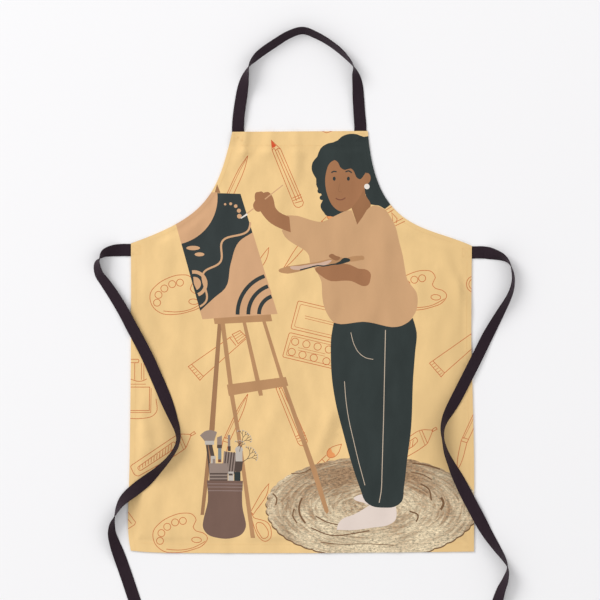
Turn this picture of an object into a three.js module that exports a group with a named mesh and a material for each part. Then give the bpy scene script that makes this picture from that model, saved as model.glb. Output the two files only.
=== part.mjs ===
// An artist's bib apron, lying flat with its front up, in millimetres. +Z is up from the surface it lies on
// and +Y runs from the bottom hem towards the neck loop. The origin is under the middle of the apron and loop.
import * as THREE from 'three';

// Cloth: one panel of canvas, its folded hems under it, and sewing thread that lies on top of it.
const HEM_THICKNESS = 1.5;
const CANVAS_THICKNESS = 0.8;
const THREAD_THICKNESS = 0.3;
const THREAD_WIDTH = 0.8;
const LAYER_GAP = 0.3;
const TOP_HEM_DEPTH = 30;
const BOTTOM_HEM_DEPTH = 20;
const SIDE_HEM_DEPTH = 12;
const ARMHOLE_HEM_DEPTH = 10;
const STITCH_INSET = 2;
const EDGE_STEPS = 36;

// Webbing: one width for the neck strap and both ties.
const STRAP_WIDTH = 25;
const STRAP_THICKNESS = 1.6;
const SEWN_LENGTH = 24;
const END_FOLD = 14;
const FLOOR_CLEARANCE = 0.1;

// The stack of layers, from the surface up.
const CANVAS_LOW = STRAP_THICKNESS + LAYER_GAP;
const CANVAS_HIGH = CANVAS_LOW + CANVAS_THICKNESS;
const THREAD_LOW = CANVAS_HIGH + LAYER_GAP;
const THREAD_HIGH = THREAD_LOW + THREAD_THICKNESS;

// The panel's corners. The cloth lies a little unevenly, so its two sides differ by a few millimetres.
const BIB_LEFT = [-141, 325];
const BIB_RIGHT = [137, 327];
const SIDE_LEFT = [-348.5, 96.5];
const SIDE_RIGHT = [350, 91.5];
const BOTTOM_LEFT = [-349, -533];
const BOTTOM_RIGHT = [354.5, -535];

// Where the straps are sewn: the middle of each strap, and the line at which it leaves the cloth.
const NECK_LEFT_X = -129;
const NECK_RIGHT_X = 121.5;
const NECK_SEAM_Y = 327.2;
const TIE_LEFT_Y = 83;
const TIE_RIGHT_Y = 78;
const TIE_LEFT_SEAM_X = -349.2;
const TIE_RIGHT_SEAM_X = 350.7;

// Each edge of the panel runs so that the cloth is on its left.
const armholeLeft = curvedEdge(BIB_LEFT, [-172, 190], [-196, 151], SIDE_LEFT);
const armholeRight = curvedEdge(SIDE_RIGHT, [259, 134], [151, 118], BIB_RIGHT);
const sideLeft = softEdge([SIDE_LEFT, [-348.5, -100], [-351, -340], [-354.5, -480], BOTTOM_LEFT]);
const sideRight = softEdge([BOTTOM_RIGHT, [354.5, -350], [352, -225], [349, -100], SIDE_RIGHT]);
const bottomEdge = softEdge([BOTTOM_LEFT, [-268, -537.5], [0, -538], [200, -536.5], BOTTOM_RIGHT]);
const topEdge = [new THREE.Vector2(...BIB_RIGHT), new THREE.Vector2(...BIB_LEFT)];

// Routes of the straps, from the seam on: [x, y, height of the lowest edge, roll about its length in degrees].
// At roll 0 a strap lies flat; at 90 it stands on one edge; past 90 its other face shows.
const NECK_ROUTE = [
  [-129, 327.4, 0.1, 0], [-129, 338, 0.1, -6], [-127, 363, 0.1, -14], [-122.5, 394, 0.1, -16],
  [-118.5, 418, 0.1, -30], [-113.5, 440, 0.1, -57], [-106.5, 459.5, 0.1, -90], [-95, 474.5, 0.1, -115],
  [-80, 488, 0.1, -125], [-53, 506.5, 0.1, -126], [-25, 523.5, 0.1, -124], [4, 532, 0.1, -121],
  [33, 521.5, 0.1, -118], [59.5, 506, 0.1, -114], [84, 486.5, 0.1, -110], [106, 461, 0.1, -90],
  [112.5, 440, 0.1, -51], [116, 419, 0.1, -30], [117.5, 394, 0.1, -18], [119.5, 363, 0.1, -14],
  [121.5, 338, 0.1, -6], [121.5, 327.4, 0.1, 0],
];
const LEFT_TIE_ROUTE = [
  [-349.5, 83, 0.1, 0], [-367, 83, 0.1, 0], [-387.5, 81, 0.1, -28], [-402, 76, 0.1, -52],
  [-411, 66.5, 0.1, -88], [-417.5, 54.5, 0.1, -120], [-413.5, 34, 0.1, -136], [-400, 14.5, 0.3, -147],
  [-382.5, -11.5, 1.2, -155], [-363, -44, 2.6, -160], [-345.5, -77, 3.6, -165], [-328, -109.5, 3.7, -167],
  [-311.5, -142.5, 3.7, -170], [-297, -175.5, 3.7, -174], [-283, -208, 3.7, -184], [-271, -237, 3.7, -207],
  [-261.5, -261.5, 3.7, -228], [-253.5, -284, 3.7, -244], [-251, -304.5, 3.7, -254], [-257.5, -325, 3.7, -253],
  [-273.5, -347.5, 3.7, -247], [-295, -370, 3.7, -230], [-315.5, -388.5, 3.7, -203], [-336, -405, 3.7, -178],
  [-354.5, -420, 3.7, -152], [-366, -431.5, 3, -132], [-375, -446, 1.2, -112], [-382, -463.5, 0.1, -90],
  [-386.5, -479, 0.1, -68], [-387, -497.5, 0.1, -52], [-381.5, -518, 0.1, -35], [-373, -542, 0.1, -14],
  [-363.5, -569, 0.1, 0], [-353, -599.5, 0.1, 0], [-341.5, -634, 0.1, 0], [-327.5, -674, 0.1, 0],
  [-311, -715, 0.1, 0], [-293.5, -754, 0.1, 0],
];
const RIGHT_TIE_ROUTE = [
  [351, 78, 0.1, 0], [375, 78, 0.1, 0], [395.5, 74, 0.1, 33], [413, 67.5, 0.1, 60],
  [426, 56.5, 0.1, 86], [432.5, 40, 0.1, 100], [434.5, 21.5, 0.1, 106], [431, 1, 0.1, 113],
  [422.5, -19.5, 0.1, 121], [409, -44, 0.1, 134], [395.5, -68.5, 0.2, 146], [381, -95.5, 0.8, 158],
  [366, -126, 2.5, 161], [349.5, -159, 3.7, 161], [333, -191.5, 3.7, 161], [317, -222.5, 3.7, 158],
  [304.5, -245, 3.7, 145], [295, -263.5, 3.7, 126], [289.5, -284, 3.7, 110], [291, -306.5, 3.7, 101],
  [297, -331, 3.7, 113], [308.5, -357.5, 3.7, 129], [322, -384.5, 3.7, 154], [339.5, -419, 3.7, 174],
  [361, -460, 3.7, 180], [380, -495, 1.6, 152], [400, -526, 0.3, 129], [415, -548.5, 0.1, 110],
  [423, -568, 0.1, 90], [418.5, -591.5, 0.1, 66], [410, -612, 0.1, 50], [403, -634.5, 0.1, 36],
  [392, -671, 0.1, 14], [380.5, -708, 0.1, 0], [369, -746, 0.1, 0], [358, -784, 0.1, 0],
];

// Colours: sand-yellow canvas, which the turned hems also show, straw-coloured thread, aubergine-black webbing
// and a white label.
const canvas = { color: '#e8c68a', roughness: 0.85, metalness: 0 };
const strawThread = { color: '#e3c489', roughness: 0.6, metalness: 0 };
const webbing = { color: '#352a33', roughness: 0.8, metalness: 0 };
const darkThread = { color: '#2b2129', roughness: 0.6, metalness: 0 };
const labelTape = { color: '#f4f2ee', roughness: 0.7, metalness: 0 };

function curvedEdge(from, control1, control2, to) {
  const points = [from, control1, control2, to].map((p) => new THREE.Vector2(...p));
  return new THREE.CubicBezierCurve(...points).getPoints(EDGE_STEPS);
}

function softEdge(points) {
  return new THREE.SplineCurve(points.map((p) => new THREE.Vector2(...p))).getPoints(EDGE_STEPS);
}

// The edge moved into the cloth by a distance, each point along the line square to the edge there.
function moveInward(edge, distance) {
  return edge.map((point, i) => {
    const along = edge[Math.min(i + 1, edge.length - 1)].clone().sub(edge[Math.max(i - 1, 0)]).normalize();
    return new THREE.Vector2(point.x - along.y * distance, point.y + along.x * distance);
  });
}

// The points of an edge that a test keeps, such as those clear of a strap's sewn end.
function trimmed(edge, test) {
  return edge.filter((point) => test(point));
}

// A flat layer with a closed outline, between two heights.
function layer(outline, low, high, holes = []) {
  const shape = new THREE.Shape(outline);
  shape.holes = holes.map((hole) => new THREE.Path(hole));
  return new THREE.ExtrudeGeometry(shape, { depth: high - low, bevelEnabled: false, steps: 1 }).translate(0, 0, low);
}

// A band that follows an edge, between two distances into the cloth.
function band(edge, near, far, low, high) {
  return layer([...moveInward(edge, near), ...moveInward(edge, far).reverse()], low, high);
}

function threadAlong(edge, inset) {
  return band(edge, inset - THREAD_WIDTH / 2, inset + THREAD_WIDTH / 2, THREAD_LOW, THREAD_HIGH);
}

function rectangle(x0, y0, x1, y1) {
  return [[x0, y0], [x1, y0], [x1, y1], [x0, y1]].map((p) => new THREE.Vector2(...p));
}

// The square of thread that holds a strap's sewn end.
function threadFrame(x0, y0, x1, y1) {
  const inner = rectangle(x0 + THREAD_WIDTH, y0 + THREAD_WIDTH, x1 - THREAD_WIDTH, y1 - THREAD_WIDTH);
  return layer(rectangle(x0, y0, x1, y1), THREAD_LOW, THREAD_HIGH, [inner]);
}

// The top hem has two slots, open at the top edge, where the neck strap's ends lie.
function topHemOutline() {
  const half = STRAP_WIDTH / 2 + LAYER_GAP;
  const slotLow = NECK_SEAM_Y - SEWN_LENGTH - LAYER_GAP;
  const sideGap = ARMHOLE_HEM_DEPTH + 2;
  const left = BIB_LEFT[0] + sideGap;
  const right = BIB_RIGHT[0] - sideGap;
  const low = BIB_LEFT[1] - TOP_HEM_DEPTH;
  const high = (x) => THREE.MathUtils.mapLinear(x, BIB_LEFT[0], BIB_RIGHT[0], BIB_LEFT[1], BIB_RIGHT[1]);
  const points = [[left, low], [right, low], [right, slotLow]];
  points.push([NECK_RIGHT_X - half, slotLow], [NECK_RIGHT_X - half, high(NECK_RIGHT_X - half)]);
  points.push([NECK_LEFT_X + half, high(NECK_LEFT_X + half)], [NECK_LEFT_X + half, slotLow], [left, slotLow]);
  return points.map((p) => new THREE.Vector2(...p));
}

// How high the middle of a strap is above its lowest edge.
function lift(roll) {
  return (STRAP_WIDTH / 2) * Math.abs(Math.sin(roll)) + (STRAP_THICKNESS / 2) * Math.abs(Math.cos(roll));
}

// A strap of rectangular section swept along its route.
function strap(route, stepsPerPoint) {
  const path = new THREE.CatmullRomCurve3(route.map(([x, y]) => new THREE.Vector3(x, y, 0)), false, 'catmullrom');
  const set = new THREE.CatmullRomCurve3(route.map(([, , base, roll]) => new THREE.Vector3(base, roll, 0)), false,
    'catmullrom');
  const steps = (route.length - 1) * stepsPerPoint;
  const corners = [];
  for (let i = 0; i <= steps; i += 1) {
    const along = path.getTangent(i / steps);
    const { x: base, y: degrees } = set.getPoint(i / steps);
    const roll = THREE.MathUtils.degToRad(degrees);
    const centre = path.getPoint(i / steps).setZ(Math.max(base, FLOOR_CLEARANCE) + lift(roll));
    const across = new THREE.Vector3(-along.y * Math.cos(roll), along.x * Math.cos(roll), Math.sin(roll));
    const outward = new THREE.Vector3().crossVectors(along, across);
    for (const [a, b] of [[-1, -1], [1, -1], [1, 1], [-1, 1]]) {
      corners.push(centre.clone().addScaledVector(across, a * STRAP_WIDTH / 2)
        .addScaledVector(outward, b * STRAP_THICKNESS / 2));
    }
  }
  // The broad faces are cut along the same diagonal, so that a twisted strap keeps its thickness.
  const faces = [0, 2, 1, 0, 3, 2];
  for (let i = 0; i < steps; i += 1) {
    for (let k = 0; k < 4; k += 1) {
      const a = 4 * i + k;
      const b = 4 * i + ((k + 1) % 4);
      if (k < 2) {
        faces.push(a, b, b + 4, a, b + 4, a + 4);
      } else {
        faces.push(a, b, a + 4, b, b + 4, a + 4);
      }
    }
  }
  const end = 4 * steps;
  faces.push(end, end + 1, end + 2, end, end + 2, end + 3);
  const geometry = new THREE.BufferGeometry().setFromPoints(corners);
  geometry.setIndex(faces);
  return geometry;
}

// A flat piece that lies on the last stretch of a strap: so far from its end, so wide, between two heights.
function onStrapEnd(route, back, length, width, low, high) {
  const end = new THREE.Vector2(...route[route.length - 1]);
  const along = end.clone().sub(new THREE.Vector2(...route[route.length - 2])).normalize();
  const geometry = new THREE.BoxGeometry(length, width, high - low);
  geometry.rotateZ(along.angle());
  const middle = end.addScaledVector(along, -back - length / 2);
  return geometry.translate(middle.x, middle.y, (low + high) / 2);
}

const group = new THREE.Group();

function add(name, geometry, look) {
  const mesh = new THREE.Mesh(geometry, new THREE.MeshStandardMaterial(look));
  mesh.name = name;
  group.add(mesh);
}

// The cut panel.
const outline = [...armholeLeft, ...sideLeft.slice(1), ...bottomEdge.slice(1), ...sideRight.slice(1),
  ...armholeRight.slice(1)];
add('front_panel', layer(outline, CANVAS_LOW, CANVAS_HIGH), canvas);

// Hems, each the folded edge of the canvas, under the panel. They stop short of each other and of the straps.
const TIE_CLEAR = STRAP_WIDTH / 2 + LAYER_GAP;
const hemLeftEdge = trimmed(sideLeft, (p) => p.y < TIE_LEFT_Y - TIE_CLEAR);
const hemRightEdge = trimmed(sideRight, (p) => p.y < TIE_RIGHT_Y - TIE_CLEAR);
const CORNER_CLEAR = SIDE_HEM_DEPTH + 4;
const hemBottomEdge = trimmed(bottomEdge, (p) => p.x > BOTTOM_LEFT[0] + CORNER_CLEAR
  && p.x < BOTTOM_RIGHT[0] - CORNER_CLEAR);
const ARMHOLE_END = SEWN_LENGTH + 8;
const ARMHOLE_TOP = NECK_SEAM_Y - SEWN_LENGTH - 2 * LAYER_GAP;
const hemArmholeLeft = trimmed(armholeLeft, (p) => p.x > SIDE_LEFT[0] + ARMHOLE_END && p.y < ARMHOLE_TOP);
const hemArmholeRight = trimmed(armholeRight, (p) => p.x < SIDE_RIGHT[0] - ARMHOLE_END && p.y < ARMHOLE_TOP);
add('bib_top_hem', layer(topHemOutline(), 0, HEM_THICKNESS), canvas);
add('left_armhole_hem', band(hemArmholeLeft, 0, ARMHOLE_HEM_DEPTH, 0, HEM_THICKNESS), canvas);
add('right_armhole_hem', band(hemArmholeRight, 0, ARMHOLE_HEM_DEPTH, 0, HEM_THICKNESS), canvas);
add('left_side_hem', band(hemLeftEdge, 0, SIDE_HEM_DEPTH, 0, HEM_THICKNESS), canvas);
add('right_side_hem', band(hemRightEdge, 0, SIDE_HEM_DEPTH, 0, HEM_THICKNESS), canvas);
add('bottom_hem', band(hemBottomEdge, 0, BOTTOM_HEM_DEPTH, 0, HEM_THICKNESS), canvas);

// Rows of thread that hold the hems.
const topThreadEdge = [BIB_RIGHT[0] - CORNER_CLEAR, BIB_LEFT[0] + CORNER_CLEAR]
  .map((x) => new THREE.Vector2(x, BIB_LEFT[1]));
add('bib_top_stitching', threadAlong(topThreadEdge, TOP_HEM_DEPTH - STITCH_INSET), strawThread);
add('left_armhole_stitching', threadAlong(hemArmholeLeft, ARMHOLE_HEM_DEPTH - STITCH_INSET), strawThread);
add('right_armhole_stitching', threadAlong(hemArmholeRight, ARMHOLE_HEM_DEPTH - STITCH_INSET), strawThread);
add('left_side_stitching', threadAlong(hemLeftEdge, SIDE_HEM_DEPTH - STITCH_INSET), strawThread);
add('right_side_stitching', threadAlong(hemRightEdge, SIDE_HEM_DEPTH - STITCH_INSET), strawThread);
add('bottom_stitching', threadAlong(hemBottomEdge, BOTTOM_HEM_DEPTH - STITCH_INSET), strawThread);

// The neck strap: its free loop, its two sewn ends, and the thread over each.
const HALF = STRAP_WIDTH / 2;
const FRAME_INSET = 3;
add('neck_strap', strap(NECK_ROUTE, 3), webbing);
for (const [side, x] of [['left', NECK_LEFT_X], ['right', NECK_RIGHT_X]]) {
  const low = NECK_SEAM_Y - SEWN_LENGTH;
  const high = Math.min(BIB_LEFT[1], BIB_RIGHT[1]);
  const tip = layer(rectangle(x - HALF, low, x + HALF, NECK_SEAM_Y - LAYER_GAP / 2), 0, STRAP_THICKNESS);
  add(`neck_strap_${side}_end`, tip, webbing);
  const square = threadFrame(x - HALF + FRAME_INSET, low + FRAME_INSET, x + HALF - FRAME_INSET, high - FRAME_INSET);
  add(`neck_strap_${side}_stitching`, square, strawThread);
}

// The waist ties: the free length, the sewn end, the folded tip, and their thread.
const TIES = [
  { side: 'left', route: LEFT_TIE_ROUTE, y: TIE_LEFT_Y, seam: TIE_LEFT_SEAM_X, into: 1 },
  { side: 'right', route: RIGHT_TIE_ROUTE, y: TIE_RIGHT_Y, seam: TIE_RIGHT_SEAM_X, into: -1 },
];
for (const { side, route, y, seam, into } of TIES) {
  add(`${side}_tie`, strap(route, 2), webbing);
  const ends = [seam, seam + into * SEWN_LENGTH].sort((a, b) => a - b);
  add(`${side}_tie_sewn_end`, layer(rectangle(ends[0], y - HALF, ends[1], y + HALF), 0, STRAP_THICKNESS), webbing);
  const square = threadFrame(ends[0] + FRAME_INSET, y - HALF + FRAME_INSET, ends[1] - FRAME_INSET,
    y + HALF - FRAME_INSET);
  add(`${side}_tie_stitching`, square, strawThread);
  const foldLow = STRAP_THICKNESS + 2 * LAYER_GAP;
  const foldHigh = foldLow + STRAP_THICKNESS;
  add(`${side}_tie_end_fold`, onStrapEnd(route, 0, END_FOLD, STRAP_WIDTH, foldLow, foldHigh), webbing);
  const threadLow = foldHigh + LAYER_GAP;
  add(`${side}_tie_end_stitching`, onStrapEnd(route, END_FOLD - STITCH_INSET - THREAD_WIDTH, THREAD_WIDTH,
    STRAP_WIDTH - 2 * STITCH_INSET, threadLow, threadLow + THREAD_THICKNESS), darkThread);
}

// A blank care label under the panel, caught by the left side hem.
const LABEL = { x: -336, y: -300, width: 32, height: 45, thickness: 0.4, low: 1 };
add('care_label', layer(rectangle(LABEL.x, LABEL.y, LABEL.x + LABEL.width, LABEL.y + LABEL.height), LABEL.low,
  LABEL.low + LABEL.thickness), labelTape);
add('care_label_stitching', layer(rectangle(LABEL.x + STITCH_INSET, LABEL.y + STITCH_INSET,
  LABEL.x + STITCH_INSET + THREAD_WIDTH, LABEL.y + LABEL.height - STITCH_INSET), LABEL.low - 2 * LAYER_GAP,
LABEL.low - LAYER_GAP), strawThread);

export default group;
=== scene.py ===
# An artist's bib apron, laid flat on a pale table with its printed front up: a canvas panel with turned and
# stitched hems, a neck loop and two waist ties of dark webbing. Metres, +Z up, the same frame as the CAD.
import math

import bpy
import numpy as np
from mathutils.geometry import delaunay_2d_cdt
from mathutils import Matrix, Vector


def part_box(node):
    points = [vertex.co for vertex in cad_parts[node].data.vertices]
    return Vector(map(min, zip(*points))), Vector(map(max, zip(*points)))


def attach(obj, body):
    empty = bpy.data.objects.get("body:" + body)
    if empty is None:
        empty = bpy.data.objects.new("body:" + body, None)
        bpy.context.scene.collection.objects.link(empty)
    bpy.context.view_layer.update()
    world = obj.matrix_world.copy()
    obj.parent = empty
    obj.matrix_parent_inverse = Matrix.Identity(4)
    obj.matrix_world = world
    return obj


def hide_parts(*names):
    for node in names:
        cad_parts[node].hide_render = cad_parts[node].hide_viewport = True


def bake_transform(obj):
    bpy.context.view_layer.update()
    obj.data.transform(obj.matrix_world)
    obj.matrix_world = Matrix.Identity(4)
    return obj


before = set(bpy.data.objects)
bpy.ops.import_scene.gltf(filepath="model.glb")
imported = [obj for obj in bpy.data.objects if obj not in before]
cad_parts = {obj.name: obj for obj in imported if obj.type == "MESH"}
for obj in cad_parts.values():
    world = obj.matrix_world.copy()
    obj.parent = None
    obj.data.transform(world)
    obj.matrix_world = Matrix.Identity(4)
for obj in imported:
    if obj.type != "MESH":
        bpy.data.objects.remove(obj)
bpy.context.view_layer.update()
MM = 0.001


# ---- The view ----
# The apron is seen from straight above. The view is taken from far away, so that nothing on the apron leans
# and its edges stay square.
VIEW_WIDTH = 1.230
VIEW_MIDDLE = (-0.0021, -0.0195)
LENS, SENSOR = 200.0, 36.0

overhead = bpy.data.cameras.new("overhead")
overhead.lens = LENS
overhead.sensor_width = SENSOR
camera = bpy.data.objects.new("overhead", overhead)
camera.location = (*VIEW_MIDDLE, VIEW_WIDTH * LENS / SENSOR)
bpy.context.scene.collection.objects.link(camera)
bpy.context.scene.camera = camera


# ---- Neck strap ----
# One length of 25 mm twill-woven cotton webbing, sewn flat behind both corners of the bib. Between them it
# rolls up onto its edge and opens outwards, because webbing bends easily only across its flat side.
STRAP_WIDTH, STRAP_THICKNESS = 0.025, 0.0016
TABLE_CLEARANCE = 0.1 * MM
RING_SPACING = 3.2 * MM
# The upper side of a strap's section from selvedge to selvedge, as shares of the half width and of the half
# thickness. The selvedges are a little thicker than the woven middle.
UPPER_SIDE = [(-1, 0.3), (-0.985, 0.8), (-0.95, 1), (-0.87, 0.92), (-0.5, 0.86), (0, 0.84)]
UPPER_SIDE += [(-a, b) for a, b in reversed(UPPER_SIDE[:-1])]
SECTION = UPPER_SIDE + [(a, -b) for a, b in reversed(UPPER_SIDE)]

# A sewn end reaches 24 mm in behind the cloth, at the height of its seam.
SEWN_UNDER = (24, 16, 8)

# Millimetres across the table and up to the lowest edge, and degrees of roll about the strap's length.
NECK_ROUTE = [
    (-129, 327.4, 0.1, 0), (-129, 338, 0.1, -6), (-127, 363, 0.1, -14), (-122.5, 394, 0.1, -16),
    (-118.5, 418, 0.1, -30), (-113.5, 440, 0.1, -57), (-106.5, 459.5, 0.1, -90), (-95, 474.5, 0.1, -115),
    (-80, 488, 0.1, -125), (-53, 506.5, 0.1, -126), (-25, 523.5, 0.1, -124), (4, 532, 0.1, -121),
    (33, 521.5, 0.1, -118), (59.5, 506, 0.1, -114), (84, 486.5, 0.1, -110), (106, 461, 0.1, -90),
    (112.5, 440, 0.1, -51), (116, 419, 0.1, -30), (117.5, 394, 0.1, -18), (119.5, 363, 0.1, -14),
    (121.5, 338, 0.1, -6), (121.5, 327.4, 0.1, 0),
]


def through(points, u):
    """Points on the smooth curve through the given points, u from 0 to 1 along it."""
    p = np.array(points, float)
    p = np.vstack([2 * p[0] - p[1], p, 2 * p[-1] - p[-2]])
    at = np.clip(np.asarray(u, float) * (len(p) - 3), 0, len(p) - 3 - 1e-9)
    i = at.astype(int)
    t = (at - i)[:, None]
    a, b, c, d = p[i], p[i + 1], p[i + 2], p[i + 3]
    return 0.5 * (2 * b + (c - a) * t + (2 * a - 5 * b + 4 * c - d) * t**2 + (3 * b - a - 3 * c + d) * t**3)


def strap_line(route):
    """Evenly spaced centres of a strap on its route, with the directions across it and out of its face."""
    steps = np.linspace(0, 1, 60 * len(route))
    plan = through([r[:2] for r in route], steps)
    length = np.r_[0, np.cumsum(np.linalg.norm(np.diff(plan, axis=0), axis=1))]
    rings = max(2, round(length[-1] * MM / RING_SPACING))
    u = np.interp(np.linspace(0, length[-1], rings + 1), length, steps)
    plan = through([r[:2] for r in route], u)
    base, roll = through([r[2:] for r in route], u).T
    roll = np.radians(roll)
    lift = STRAP_WIDTH / 2 * abs(np.sin(roll)) + STRAP_THICKNESS / 2 * abs(np.cos(roll))
    centres = np.c_[plan * MM, np.maximum(base * MM, TABLE_CLEARANCE) + lift]
    nudge = 0.0005
    ahead = through([r[:2] for r in route], np.clip(u + nudge, 0, 1))
    behind = through([r[:2] for r in route], np.clip(u - nudge, 0, 1))
    along = (ahead - behind) / np.linalg.norm(ahead - behind, axis=1)[:, None]
    across = np.c_[-along[:, 1] * np.cos(roll), along[:, 0] * np.cos(roll), np.sin(roll)]
    out = np.cross(np.c_[along, np.zeros(len(along))], across)
    return centres, across, out


def piece(name, points, faces, materials, smooth=True):
    """A new mesh object in the scene."""
    mesh = bpy.data.meshes.new(name)
    mesh.from_pydata([tuple(p) for p in points], [], faces)
    for material in materials:
        mesh.materials.append(material)
    mesh.polygons.foreach_set("use_smooth", [smooth] * len(mesh.polygons))
    mesh.update()
    made = bpy.data.objects.new(name, mesh)
    bpy.context.scene.collection.objects.link(made)
    return made


def woven_strap(name, centres, across, out, material):
    """A length of webbing: the section swept along its rings, with the weave laid out along it."""
    n, rings = len(SECTION), len(centres)
    a, b = np.array(SECTION).T
    points = (centres[:, None] + across[:, None] * (a * STRAP_WIDTH / 2)[None, :, None]
              + out[:, None] * (b * STRAP_THICKNESS / 2)[None, :, None])
    faces = []
    for i in range(rings - 1):
        for k in range(n):
            m = (k + 1) % n
            faces.append((i * n + m, i * n + k, (i + 1) * n + k, (i + 1) * n + m))
    faces += [tuple(range(n)), tuple(reversed(range((rings - 1) * n, rings * n)))]
    made = piece(name, points.reshape(-1, 3), faces, [material])
    length = np.r_[0, np.cumsum(np.linalg.norm(np.diff(centres, axis=0), axis=1))]
    weave = made.data.uv_layers.new(name="weave")
    for face in made.data.polygons:
        for corner in face.loop_indices:
            ring, k = divmod(made.data.loops[corner].vertex_index, n)
            weave.data[corner].uv = (a[k] * STRAP_WIDTH / 2 + STRAP_WIDTH / 2, length[ring])
    return made


class Nodes:
    """A material's node tree, written as short calls."""

    def __init__(self, name):
        self.material = bpy.data.materials.new(name)
        self.material.use_nodes = True
        self.tree = self.material.node_tree
        self.shader = self.tree.nodes["Principled BSDF"]

    def add(self, kind, inputs=(), **settings):
        """A node with its settings, and its inputs given in order or by name as values or sockets."""
        node = self.tree.nodes.new("ShaderNode" + kind)
        for key, value in settings.items():
            setattr(node, key, value)
        pairs = inputs.items() if isinstance(inputs, dict) else enumerate(inputs)
        for key, value in pairs:
            if isinstance(value, bpy.types.NodeSocket):
                self.tree.links.new(value, node.inputs[key])
            elif value is not None:
                node.inputs[key].default_value = value
        return node

    def math(self, operation, *inputs):
        return self.add("Math", inputs, operation=operation).outputs[0]

    def mix(self, share, low, high):
        """A colour between two, by a share from 0 to 1."""
        node = self.add("Mix", data_type="RGBA")
        for key, value in ((0, share), (6, low), (7, high)):
            if isinstance(value, bpy.types.NodeSocket):
                self.tree.links.new(value, node.inputs[key])
            else:
                node.inputs[key].default_value = value if key == 0 else (*value, 1)
        return node.outputs[2]

    def wave(self, distance, pitch):
        """0 to 1 and back once in each pitch of a distance."""
        turns = self.math("MULTIPLY", distance, 2 * math.pi / pitch)
        return self.math("MULTIPLY_ADD", self.math("SINE", turns), 0.5, 0.5)

    def bump(self, height, strength, depth):
        node = self.add("Bump", {"Height": height, "Strength": strength, "Distance": depth})
        self.tree.links.new(node.outputs[0], self.shader.inputs["Normal"])

    def set(self, **sockets):
        """The shader's sockets, with _ for a space, as values or linked."""
        for key, value in sockets.items():
            socket = self.shader.inputs[key.replace("_", " ")]
            if isinstance(value, bpy.types.NodeSocket):
                self.tree.links.new(value, socket)
            else:
                socket.default_value = (*value, 1) if isinstance(value, tuple) else value
        return self.material


def webbing_material():
    """Herringbone twill of fine ribs, plum black, with firmer plain selvedges and a soft bloom of fibre. Its
    colour carries painted shade from the relief: the ribs are lighter, the hollows darker, and the flat
    selvedges take the darker tone as well.
    """
    chevron, rib, yarn, selvedge = 6.2 * MM, 1.5 * MM, 0.62 * MM, 1.5 * MM
    dark, light = (0.013, 0.0068, 0.0105), (0.038, 0.022, 0.031)
    n = Nodes("plum_webbing")
    weave = n.add("UVMap", uv_map="weave")
    parts = n.add("SeparateXYZ", [weave.outputs[0]])
    across, along = parts.outputs[0], parts.outputs[1]
    slant = n.math("ADD", along, n.math("PINGPONG", across, chevron))
    ribs = n.wave(slant, rib)
    yarns = n.wave(n.math("SUBTRACT", along, n.math("MULTIPLY", across, 0.3)), yarn)
    from_edge = n.math("PINGPONG", across, STRAP_WIDTH / 2)
    inside = n.math("SMOOTH_MIN", n.math("DIVIDE", from_edge, selvedge), 1.0, 0.2)
    relief = n.math("MULTIPLY", n.math("MULTIPLY_ADD", yarns, 0.3, ribs), inside)
    wear = n.add("TexNoise", {"Scale": 38.0, "Detail": 4.0, "Roughness": 0.6})
    # Painted shade: the weave's relief lightens the ribs and darkens the hollows, on top of the random wear.
    tone = n.math("MULTIPLY_ADD", wear.outputs[0], 0.55, n.math("MULTIPLY", relief, 0.35))
    n.bump(relief, 0.55, 0.35 * MM)
    return n.set(Base_Color=n.mix(tone, dark, light), Roughness=0.82, Sheen_Weight=0.12,
                 Sheen_Roughness=0.45, Sheen_Tint=(0.75, 0.62, 0.72), Specular_IOR_Level=0.12)


webbing = webbing_material()


left_end, right_end = ([(corner[0], corner[1] - s, 0.1, 0) for s in SEWN_UNDER]
                       for corner in (NECK_ROUTE[0], NECK_ROUTE[-1]))
neck_line = strap_line(left_end + NECK_ROUTE + right_end[::-1])
neck_strap = woven_strap("neck_strap_webbing", *neck_line, webbing)
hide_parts("neck_strap", "neck_strap_left_end", "neck_strap_right_end")
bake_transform(neck_strap)


# ---- Waist ties ----
# Two lengths of the same webbing, each sewn flat behind a side corner. They lie beside and across the panel,
# rolling over where they turn, and run on past the bottom hem to a turned back and stitched end.
LEFT_TIE_ROUTE = [
    (-349.5, 83, 0.1, 0), (-367, 83, 0.1, 0), (-387.5, 81, 0.1, -28), (-402, 76, 0.1, -52),
    (-411, 66.5, 0.1, -88), (-417.5, 54.5, 0.1, -120), (-413.5, 34, 0.1, -136), (-400, 14.5, 0.3, -147),
    (-382.5, -11.5, 1.2, -155), (-363, -44, 2.6, -160), (-345.5, -77, 3.6, -165), (-328, -109.5, 3.7, -167),
    (-311.5, -142.5, 3.7, -170), (-297, -175.5, 3.7, -174), (-283, -208, 3.7, -184),
    (-271, -237, 3.7, -207), (-261.5, -261.5, 3.7, -228), (-253.5, -284, 3.7, -244),
    (-251, -304.5, 3.7, -254), (-257.5, -325, 3.7, -253), (-273.5, -347.5, 3.7, -247),
    (-295, -370, 3.7, -230), (-315.5, -388.5, 3.7, -203), (-336, -405, 3.7, -178),
    (-354.5, -420, 3.7, -152), (-366, -431.5, 3, -132), (-375, -446, 1.2, -112),
    (-382, -463.5, 0.1, -90), (-386.5, -479, 0.1, -68), (-387, -497.5, 0.1, -52),
    (-381.5, -518, 0.1, -35), (-373, -542, 0.1, -14), (-363.5, -569, 0.1, 0), (-353, -599.5, 0.1, 0),
    (-341.5, -634, 0.1, 0), (-327.5, -674, 0.1, 0), (-311, -715, 0.1, 0), (-293.5, -754, 0.1, 0),
]
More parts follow.
